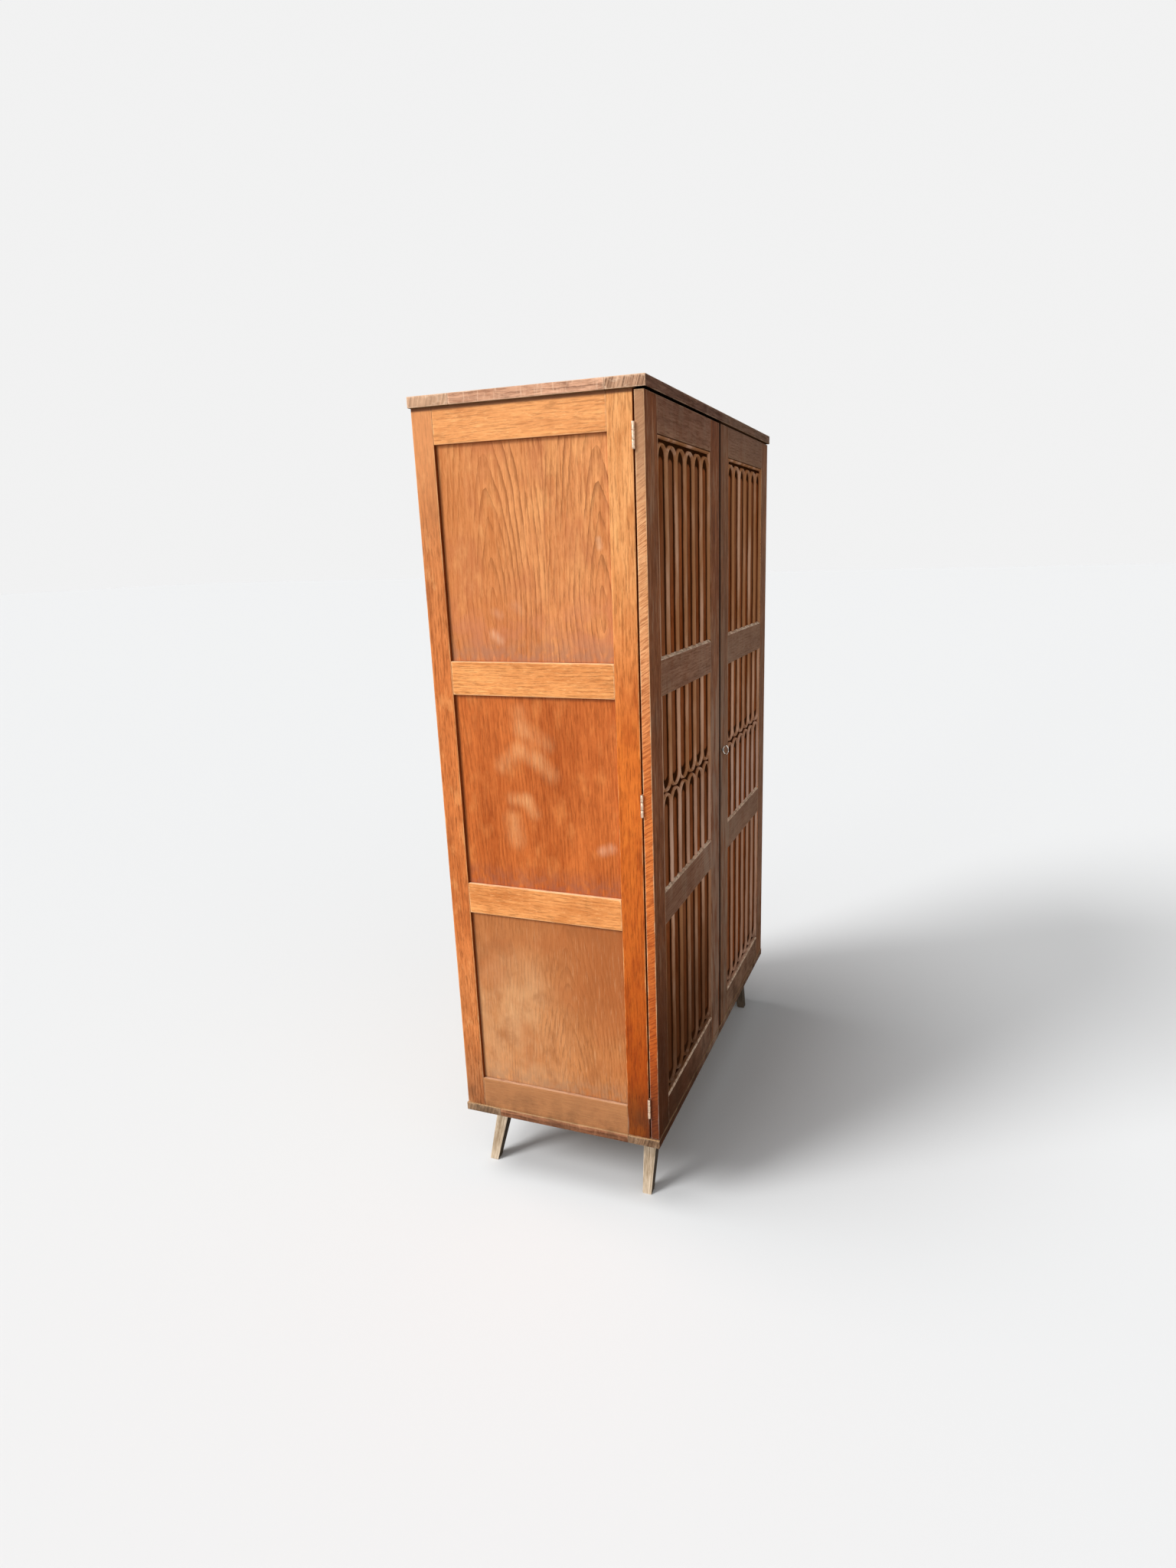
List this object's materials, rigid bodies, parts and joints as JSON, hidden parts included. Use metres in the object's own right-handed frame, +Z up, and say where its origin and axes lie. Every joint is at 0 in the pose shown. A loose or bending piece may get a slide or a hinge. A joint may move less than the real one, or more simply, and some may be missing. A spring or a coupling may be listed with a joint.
{
  "type": "wardrobe",
  "caption": "Free-standing oak wardrobe with hinged doors of carved arcaded panels, framed panel sides, a hat shelf, a hanging rail, a lock with its key and splayed tapered legs.",
  "frame": {"origin": "on the floor under the middle of the outline", "axes": "+Z up, the doors face -Y, +X to the right of a person facing the doors"},
  "size_m": [1.1316, 0.5336, 1.854],
  "materials": {
    "oak_side_frame": "worn stained oak, satin",
    "oak_side_panel": "worn stained oak, satin",
    "oak_top_and_bottom": "worn stained oak, satin",
    "oak_door_frame": "dark stained oak, satin",
    "oak_carved_panel": "carved oak, dark ground and worn crests",
    "inside_wood": "plain unstained wood, matt",
    "bare_leg_wood": "bare bleached wood, matt",
    "hinge_brass": "dull brass",
    "key_steel": "worn bright steel",
    "lock_iron": "dark iron"
  },
  "bodies": {
    "carcass": {"back_panel": "inside_wood", "bottom_back_rail": "oak_top_and_bottom", "bottom_front_rail": "oak_top_and_bottom", "bottom_left_rail": "oak_top_and_bottom", "bottom_panel": "inside_wood", "bottom_right_rail": "oak_top_and_bottom", "front_left_leg": "bare_leg_wood", "front_right_leg": "bare_leg_wood", "hanging_rail": "inside_wood", "hat_shelf": "inside_wood", "left_hinge_bottom_carcass_leaf": "hinge_brass", "left_hinge_middle_carcass_leaf": "hinge_brass", "left_hinge_top_carcass_leaf": "hinge_brass", "left_shelf_bearer": "inside_wood", "left_side_frame": "oak_side_frame", "left_side_panel_bottom": "oak_side_panel", "left_side_panel_middle": "oak_side_panel", "left_side_panel_top": "oak_side_panel", "rear_left_leg": "bare_leg_wood", "rear_right_leg": "bare_leg_wood", "right_hinge_bottom_carcass_leaf": "hinge_brass", "right_hinge_middle_carcass_leaf": "hinge_brass", "right_hinge_top_carcass_leaf": "hinge_brass", "right_shelf_bearer": "inside_wood", "right_side_frame": "oak_side_frame", "right_side_panel_bottom": "oak_side_panel", "right_side_panel_middle": "oak_side_panel", "right_side_panel_top": "oak_side_panel", "top_back_rail": "oak_top_and_bottom", "top_front_rail": "oak_top_and_bottom", "top_left_rail": "oak_top_and_bottom", "top_panel": "inside_wood", "top_right_rail": "oak_top_and_bottom"},
    "left_door": {"left_door_bottom_rail": "oak_door_frame", "left_door_inner_stile": "oak_door_frame", "left_door_lower_rail": "oak_door_frame", "left_door_outer_stile": "oak_door_frame", "left_door_panel_bottom": "oak_carved_panel", "left_door_panel_middle": "oak_carved_panel", "left_door_panel_top": "oak_carved_panel", "left_door_top_rail": "oak_door_frame", "left_door_upper_rail": "oak_door_frame", "left_hinge_bottom_door_leaf": "hinge_brass", "left_hinge_middle_door_leaf": "hinge_brass", "left_hinge_top_door_leaf": "hinge_brass"},
    "right_door": {"right_door_bottom_rail": "oak_door_frame", "right_door_inner_stile": "oak_door_frame", "right_door_lower_rail": "oak_door_frame", "right_door_outer_stile": "oak_door_frame", "right_door_panel_bottom": "oak_carved_panel", "right_door_panel_middle": "oak_carved_panel", "right_door_panel_top": "oak_carved_panel", "right_door_top_rail": "oak_door_frame", "right_door_upper_rail": "oak_door_frame", "right_hinge_bottom_door_leaf": "hinge_brass", "right_hinge_middle_door_leaf": "hinge_brass", "right_hinge_top_door_leaf": "hinge_brass", "lock_case": "lock_iron"},
    "key": {"key": "key_steel"},
    "lock_bolt": {"lock_bolt": "key_steel"}
  },
  "joints": [
    {"name": "left_door_hinge", "type": "hinge", "parent": "carcass", "child": "left_door", "pos_m": [-0.5623, -0.22555, 1.015], "axis": [0, 0, -1], "range_deg": [0, 170]},
    {"name": "right_door_hinge", "type": "hinge", "parent": "carcass", "child": "right_door", "pos_m": [0.5623, -0.22555, 1.015], "axis": [0, 0, 1], "range_deg": [0, 170]},
    {"name": "key_turn", "type": "hinge", "parent": "right_door", "child": "key", "pos_m": [0.021, -0.24785, 1.015], "axis": [0, 1, 0], "range_deg": [0, 180]},
    {"name": "bolt_throw", "type": "slide", "parent": "right_door", "child": "lock_bolt", "axis": [-1, 0, 0], "range_m": [0, 0.009]}
  ],
  "couplings": [
    {"joint": "key_turn", "follows": "bolt_throw", "rad_per_m": 349}
  ]
}
